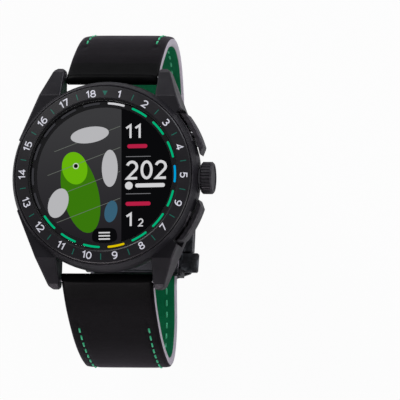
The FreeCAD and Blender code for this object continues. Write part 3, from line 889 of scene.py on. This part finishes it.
def make_crystal():
    underside = SCREEN_Z + CRYSTAL_GAP
    glass = Shape()
    lathe(glass, [
        (0, underside),
        (GLASS_R, underside),
        (GLASS_R, GLASS_TOP - POLISH),
        (GLASS_R - POLISH, GLASS_TOP),
        (0, GLASS_TOP),
    ])
    piece = glass.build("crystal_glass", [FINISHES["sapphire"]])
    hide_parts("crystal")


# ---- springs ----
WIRE_SIDES = 8
STEPS_PER_TURN = 20
PUSHER_SPRING = {"coil_r": 1.18, "wire_r": 0.13, "turns": 4}
PUSHER_SPRING_ENDS = (20.45, 22.9)  # from the watch's axis, along the pusher
BUTTON_SPRING = {"coil_r": 0.5, "wire_r": 0.1, "turns": 5}
BUTTON_SPRING_ENDS = (5.85, 9.35)  # from the clasp's middle, along X
BUTTON_SPRING_R, BUTTON_SPRING_Y = 51.35, -13.25


def coil_points(fixed, free, coil_r, wire_r, turns):
    """The points of a coil, ring by ring from its fixed end."""
    along = (free - fixed).normalized()
    side = along.orthogonal().normalized()
    other = along.cross(side)
    climb = (free - fixed).length - 2 * wire_r
    steps = turns * STEPS_PER_TURN
    points = []
    for k in range(steps + 1):
        a = TAU * k / STEPS_PER_TURN
        outward = side * math.cos(a) + other * math.sin(a)
        centre = fixed + along * (wire_r + climb * k / steps) + outward * coil_r
        for j in range(WIRE_SIDES):
            b = TAU * j / WIRE_SIDES
            points.append(centre + (outward * math.cos(b) + along * math.sin(b)) * wire_r)
    return points


def make_spring(node, body, fixed, free, sizes):
    """A compression spring's coil from its fixed end to its free end, in the place of its CAD part."""
    points = coil_points(fixed, free, **sizes)
    coil = Shape()
    coil.add(points, tube_faces(len(points) // WIRE_SIDES, WIRE_SIDES))
    piece = coil.build(node + "_coil", [FINISHES["spring_steel"]], body, smooth=True)
    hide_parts(node)
    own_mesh(piece)


def make_springs():
    crown_height = Vector((0, 0, JOINTS["crown_turn"]["pos_m"][2] / MM))
    for name in ("upper_pusher", "lower_pusher"):
        joint = name + "_press"
        outward = -Vector(JOINTS[joint]["axis"])
        fixed, free = (crown_height + outward * distance for distance in PUSHER_SPRING_ENDS)
        make_spring(name + "_spring", "head", fixed, free, PUSHER_SPRING)
    y, z = clasp_arc(BUTTON_SPRING_R, BUTTON_SPRING_Y)
    for name, side in (("left_button", -1), ("right_button", 1)):
        fixed, free = (Vector((side * x, y, z)) for x in BUTTON_SPRING_ENDS)
        make_spring(name + "_spring", "clasp_cover", fixed, free, BUTTON_SPRING)


# ---- strap ----
STRAP_W, STRAP_END_W = 22.0, 19.3
STRAP_T, STRAP_END_T = 2.9, 2.2
TAPER = 60.0  # length over which both straps narrow and thin
SKIN_SHARE = 0.97  # the drawn skin's thickness, as a share of the strap's
EYE_R = STRAP_T / 2  # round the spring bar
EYE_ANGLES = (4, 14, 28, 44, 62, 80)
WRAP_LENGTH = 4.5  # smooth wrap over the spring bar, drawn near-black as painted shade under the lugs
CORNER_R = 0.4
SKIVE, SKIVE_W = 0.34, 1.1  # thinning towards the edges: share and reach
RING_SPACING = 0.45
CURVE_STEPS = 24  # between two stops of a strap's path

STITCH_PITCH = 2.8
STITCH_LENGTH = 1.9
STITCH_INSET = 2.3
STITCH_LIFT = 0.2  # from a stitch's ends to its middle
STITCH_SUNK = 0.08
THREAD_R = 0.23
FIRST_STITCH = 13.5
DIP, DIP_W = 0.26, 0.5  # how deep and wide the thread pulls the leather in

CLASP_CENTRE = (-3.0, 9.5)  # the clasp's plates and the strap in it curve about this
UPPER_R = 52.1
TAIL_R = 47.0
TAIL_TIP_Y = 8.0
TAIL_TIP = 6.0  # length of the tail's narrowing tip
TIP_HALF_W = 3.2

UPPER_PIVOT = pivot("strap_upper_swing")
LOWER_PIVOT = pivot("clasp_opening")
TAIL_PIVOT = pivot("strap_end_flex")


def clasp_arc(radius, y):
    """A point in the side view on an arc of the clasp."""
    centre_y, centre_z = CLASP_CENTRE
    return y, centre_z - math.sqrt(radius ** 2 - (y - centre_y) ** 2)


# the straps' middle lines in the side view, as stops of (Y, Z)
UPPER_STOPS = [UPPER_PIVOT, (29.4, -3.2), (34.2, -11.6), (35.5, -21.5), (32.4, -29.4), (25.0, -35.2)]
UPPER_STOPS += [clasp_arc(UPPER_R, y) for y in (16.0, 9.0, 2.0, -6.8)]
LOWER_STOPS = [LOWER_PIVOT, (-30.6, -3.4), (-37.2, -13.8), (-40.4, -25.0), (-37.8, -31.7), (-30.5, -34.5)]
LOWER_STOPS += [TAIL_PIVOT] + [clasp_arc(TAIL_R, y) for y in (-14.0, -7.0, 0.0, TAIL_TIP_Y)]

# how far the rows of stitches run along each strap
UPPER_ROW_STOP = 16.0  # before the end
LOWER_ROW_END = 56.0  # outside, from the start
LOWER_LINING_ROW_STOP = 9.0  # on the lining, before the end


class Path:
    """A strap's middle line in the side view. side is 1 for the 12 o'clock strap, -1 for the other."""

    def __init__(self, stops, side):
        self.side = side
        stops = [Vector(stop) for stop in stops]
        stops = [2 * stops[0] - stops[1]] + stops + [2 * stops[-1] - stops[-2]]
        self.line = []
        for near in zip(stops, stops[1:], stops[2:], stops[3:]):
            self.line.extend(curve_point(*near, step / CURVE_STEPS) for step in range(CURVE_STEPS))
        self.line.append(stops[-2])
        self.lengths = [0.0]
        for a, b in zip(self.line, self.line[1:]):
            self.lengths.append(self.lengths[-1] + (b - a).length)
        self.length = self.lengths[-1]

    def at(self, length):
        """The point and the outward direction at a length; before the start it runs on straight."""
        k = 0
        while k < len(self.line) - 2 and self.lengths[k + 1] < length:
            k += 1
        a, b = self.line[k], self.line[k + 1]
        share = (length - self.lengths[k]) / (self.lengths[k + 1] - self.lengths[k])
        before = self.line[max(k - 2, 0)]
        after = self.line[min(k + 3, len(self.line) - 1)]
        along = (after - before).normalized()
        return a + (b - a) * share, Vector((-along.y, along.x)) * self.side

    def place(self, length, x, height):
        """The point at a length, x across the strap and a height above its middle line."""
        point, out = self.at(length)
        spot = point + out * height
        return Vector((x, spot.x, spot.y))

    def half_width(self, length):
        half = (STRAP_W + (STRAP_END_W - STRAP_W) * min(max(length, 0) / TAPER, 1)) / 2
        past_tip_start = self.at(length)[0].x - (TAIL_TIP_Y - TAIL_TIP)
        if self.side < 0 and past_tip_start > 0 and length > TAPER:
            half += (TIP_HALF_W - half) * min(past_tip_start / TAIL_TIP, 1)
        return half

    def half_thick(self, length):
        if length < 0:
            return math.sqrt(max(EYE_R ** 2 - length ** 2, 0.01))
        return (STRAP_T + (STRAP_END_T - STRAP_T) * min(length / TAPER, 1)) / 2 * SKIN_SHARE


def stitched_depth(inset, length, row_end):
    """How far the leather is drawn down at a place near a row of stitches."""
    if not FIRST_STITCH - STITCH_PITCH < length < row_end + STITCH_PITCH:
        return 0.0
    pull = 0.65 - 0.35 * math.cos(TAU * (length - FIRST_STITCH) / STITCH_PITCH)
    return DIP * pull * math.exp(-((inset - STITCH_INSET) / DIP_W) ** 2)


# the regions of a strap's skin, in the order of SKINS
LEATHER, EDGE, LINING, WRAP = range(4)
SKINS = [
    FINISHES["strap_leather"],
    edge_paint("strap_edge"),
    FINISHES["strap_lining"],
    # the wrap's near-black colour and its lack of sheen are painted shade where the strap rolls under the lugs
    leather(
        "strap_wrap_painted_shade", WRAP_PAINTED_SHADE, WRAP_SHEEN,
        rough=0.36, pebble=2600, depth=0.006, soft=0.0, gloss=0.06,
    ),
]
THREADS = [thread("thread_outside", THREAD_GREEN), thread("thread_lining", LINING_THREAD)]

ACROSS = 44
SIDE_STOPS = (0.22, 0.5, 0.85)  # down the strap's side, as shares of its height


def strap_section(path, length, row_end):
    """Points (x, height) round the strap, with the region of the face after each."""
    half_w = path.half_width(length)
    half_t = path.half_thick(length)
    radius = min(CORNER_R, half_t * 0.45)
    flat = half_w - radius
    # near the spring bar both faces, the lining's too, take the wrap's painted shade
    outside = WRAP if length < WRAP_LENGTH else LEATHER
    inside = LINING if length > WRAP_LENGTH else WRAP
    stations = []
    for k in range(ACROSS + 1):
        x = -flat + 2 * flat * k / ACROSS
        inset = half_w - abs(x)
        stations.append((x, inset, stitched_depth(inset, length, row_end)))

    ring = []
    for x, inset, depth in stations:
        skive = SKIVE * half_t * math.exp(-inset / SKIVE_W)
        ring.append((x, half_t - skive - depth, outside))
    edge_high = ring[-1][1]
    edge_low = -half_t + radius * 0.5
    sides = []
    for share in SIDE_STOPS:
        swell = radius * math.sin(math.pi * min(share + 0.1, 0.5))
        sides.append((flat + swell, edge_high + (edge_low - edge_high) * share))
    ring.extend((x, height, EDGE) for x, height in sides)
    ring.extend((-x, -half_t + depth * 0.5, inside) for x, inset, depth in stations)
    ring[-1] = (-flat, ring[-1][1], EDGE)
    ring.extend((-x, height, EDGE) for x, height in reversed(sides))
    ring[-1] = (*ring[-1][:2], LEATHER)
    return ring


def strap_shape(path, row_end):
    """The whole band as one closed skin, rounded over the spring bar and capped at its end."""
    lengths = [-EYE_R * math.cos(math.radians(a)) for a in EYE_ANGLES]
    steps = int(path.length / RING_SPACING)
    lengths += [path.length * k / steps for k in range(steps + 1)]
    rings = [strap_section(path, length, row_end) for length in lengths]
    points = [path.place(length, x, h) for length, ring in zip(lengths, rings) for x, h, _ in ring]
    shape = Shape()
    shape.add(points, tube_faces(len(rings), len(rings[0])))
    shape.regions = [WRAP, EDGE] + [region for ring in rings[:-1] for _, _, region in ring]
    return shape


STITCH_RINGS = 9
STITCH_SIDES = 8


def add_stitch(shape, path, centre, x, face):
    """One thread stitch: a slim tube that rises from one hole and dives into the next."""
    points = []
    for k in range(STITCH_RINGS):
        t = -1 + 2 * k / (STITCH_RINGS - 1)
        length = centre + t * STITCH_LENGTH / 2
        height = face * (path.half_thick(length) - STITCH_SUNK - STITCH_LIFT * t * t)
        girth = THREAD_R * math.sqrt(max(1 - 0.85 * t ** 6, 0.05))
        for j in range(STITCH_SIDES):
            a = TAU * j / STITCH_SIDES
            points.append(path.place(length, x + girth * math.cos(a), height + girth * math.sin(a)))
    shape.add(points, tube_faces(STITCH_RINGS, STITCH_SIDES), 0 if face > 0 else 1)


def stitch_rows(path, outside_end, lining_end):
    """Two rows of stitches on each face of a strap, up to a length along it."""
    shape = Shape()
    for face, row_end in ((1, outside_end), (-1, lining_end)):
        for k in range(int((row_end - FIRST_STITCH) / STITCH_PITCH)):
            centre = FIRST_STITCH + STITCH_PITCH * (k + 0.5)
            for side in (-1, 1):
                x = side * (path.half_width(centre) - STITCH_INSET)
                add_stitch(shape, path, centre, x, face)
    return shape


def strap_pieces(name, path, outside_end, lining_end, body):
    """The band and the stitches of one strap."""
    band = strap_shape(path, outside_end).build(name + "_band", SKINS, body, smooth=True)
    rows = stitch_rows(path, outside_end, lining_end).build(name + "_stitches", THREADS, body, smooth=True)
    return band, rows


def make_upper_strap():
    path = Path(UPPER_STOPS, 1)
    row_end = path.length - UPPER_ROW_STOP
    band = strap_pieces("strap_upper", path, row_end, row_end, "strap_upper")[0]
    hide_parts("strap_upper_leather", "strap_upper_lining")


def make_lower_strap():
    """The long strap, which bends where it enters the clasp."""
    path = Path(LOWER_STOPS, -1)
    lining_end = path.length - LOWER_LINING_ROW_STOP
    band, rows = strap_pieces("strap_lower", path, LOWER_ROW_END, lining_end, None)
    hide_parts("strap_lower_leather", "strap_lower_lining", "strap_tail_leather", "strap_tail_lining")
    for piece in (band, rows):
        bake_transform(piece)


# ---- stage, in metres ----
FLOOR_HALF = 4.0
FLOOR_GAP = 0.0006  # under the watch
FLOOR_GLOW = 0.96  # how much of the floor is plain white to the camera
SKY_COLOUR = (0.9, 0.9, 0.94, 1.0)
SKY_GLOW, SKY_SEEN = 0.16, 0.95  # the sky as a light, and as the backdrop the camera sees
LIGHTS = (  # name, place, size, watts, colour
    ("key", (-0.55, 0.8, 0.7), (0.45, 0.45), 6.0, (1.0, 1.0, 1.0)),
    ("fill", (0.8, -0.3, 0.45), (0.4, 0.7), 2.2, (1.0, 1.0, 1.0)),
    ("rim", (0.6, 0.65, 0.1), (0.3, 0.5), 2.2, (0.92, 0.94, 1.0)),
    ("low", (-0.2, -0.9, -0.02), (0.9, 0.25), 4.0, (1.0, 0.92, 0.97)),
)
VIEW_RIGHT = math.radians(10.9)  # the camera stands this far round towards 3 o'clock
VIEW_DOWN = math.radians(6.7)  # and this far towards 6 o'clock
VIEW_ROLL = math.radians(1.5)
CAMERA_AWAY = 3.0
CAMERA_REACH = 50.0
SENSOR_MM = 36.0
FIELD = 0.0939  # width of the picture at the watch's face
AIM_RIGHT, AIM_DOWN = 0.0230, 0.0054


def make_floor():
    n = Nodes("studio_floor")
    fibre = n.remap(n.noise(900), NOISE_SPREAD, (0.0, 1.0))
    paper = n.add("ShaderNodeBsdfDiffuse")
    n.feed(paper.inputs["Color"], n.mix(fibre, srgb(236, 236, 238), srgb(242, 242, 243)))
    glow = n.add("ShaderNodeEmission", Color=WHITE, Strength=1.0)
    seen = n.add("ShaderNodeLightPath").outputs["Is Camera Ray"]
    share = n.maths("MULTIPLY", seen, FLOOR_GLOW)
    n.surface(n.mix_shaders(share, paper.outputs[0], glow.outputs[0]))
    half = FLOOR_HALF / MM
    z = (cad_box[0][2] - FLOOR_GAP) / MM
    sheet = Shape()
    sheet.add([(x, y, z) for x, y in rectangle(-half, half, -half, half)], [(0, 1, 2, 3)])
    sheet.build("studio_floor", [n.material], None)


def make_sky():
    world = bpy.data.worlds.new("studio")
    world.use_nodes = True
    bpy.context.scene.world = world
    tree = world.node_tree
    sky = tree.nodes["Background"]
    sky.inputs["Color"].default_value = SKY_COLOUR
    seen = tree.nodes.new("ShaderNodeLightPath").outputs["Is Camera Ray"]
    level = tree.nodes.new("ShaderNodeMapRange")
    level.inputs["To Min"].default_value = SKY_GLOW
    level.inputs["To Max"].default_value = SKY_SEEN
    tree.links.new(seen, level.inputs["Value"])
    tree.links.new(level.outputs["Result"], sky.inputs["Strength"])
    bpy.context.scene.view_settings.view_transform = "Standard"


def make_lights():
    """Soft rectangular lights that face the watch."""
    for name, place, size, watts, colour in LIGHTS:
        lamp = bpy.data.lights.new(name, "AREA")
        lamp.shape = "RECTANGLE"
        lamp.size, lamp.size_y = size
        lamp.energy = watts
        lamp.color = colour
        light = add_object(name, lamp)
        light.location = place
        light.rotation_euler = (-Vector(place)).to_track_quat("-Z", "Y").to_euler()


def make_camera():
    back = Vector((math.tan(VIEW_RIGHT), -math.tan(VIEW_DOWN), 1.0)).normalized()
    right = Vector((0, 1, 0)).cross(back).normalized()
    up = back.cross(right)
    face = Vector((0, 0, BEZEL_TOP * MM))
    place = face + back * CAMERA_AWAY
    target = face + right * AIM_RIGHT - up * AIM_DOWN
    back = (place - target).normalized()
    right = up.cross(back).normalized()
    up = back.cross(right)
    turn = Matrix((right, up, back)).transposed() @ Matrix.Rotation(VIEW_ROLL, 3, "Z")
    lens = bpy.data.cameras.new("camera")
    lens.sensor_width = SENSOR_MM
    lens.lens = SENSOR_MM * CAMERA_AWAY / FIELD
    lens.clip_end = CAMERA_REACH
    camera = add_object("camera", lens)
    camera.matrix_world = Matrix.Translation(place) @ turn.to_4x4()
    bpy.context.scene.camera = camera


make_numerals()
make_ticks()
make_score_ring()
make_map()
make_info_panel()
make_crystal()
make_springs()
make_upper_strap()
make_lower_strap()
make_floor()
make_sky()
make_lights()
make_camera()
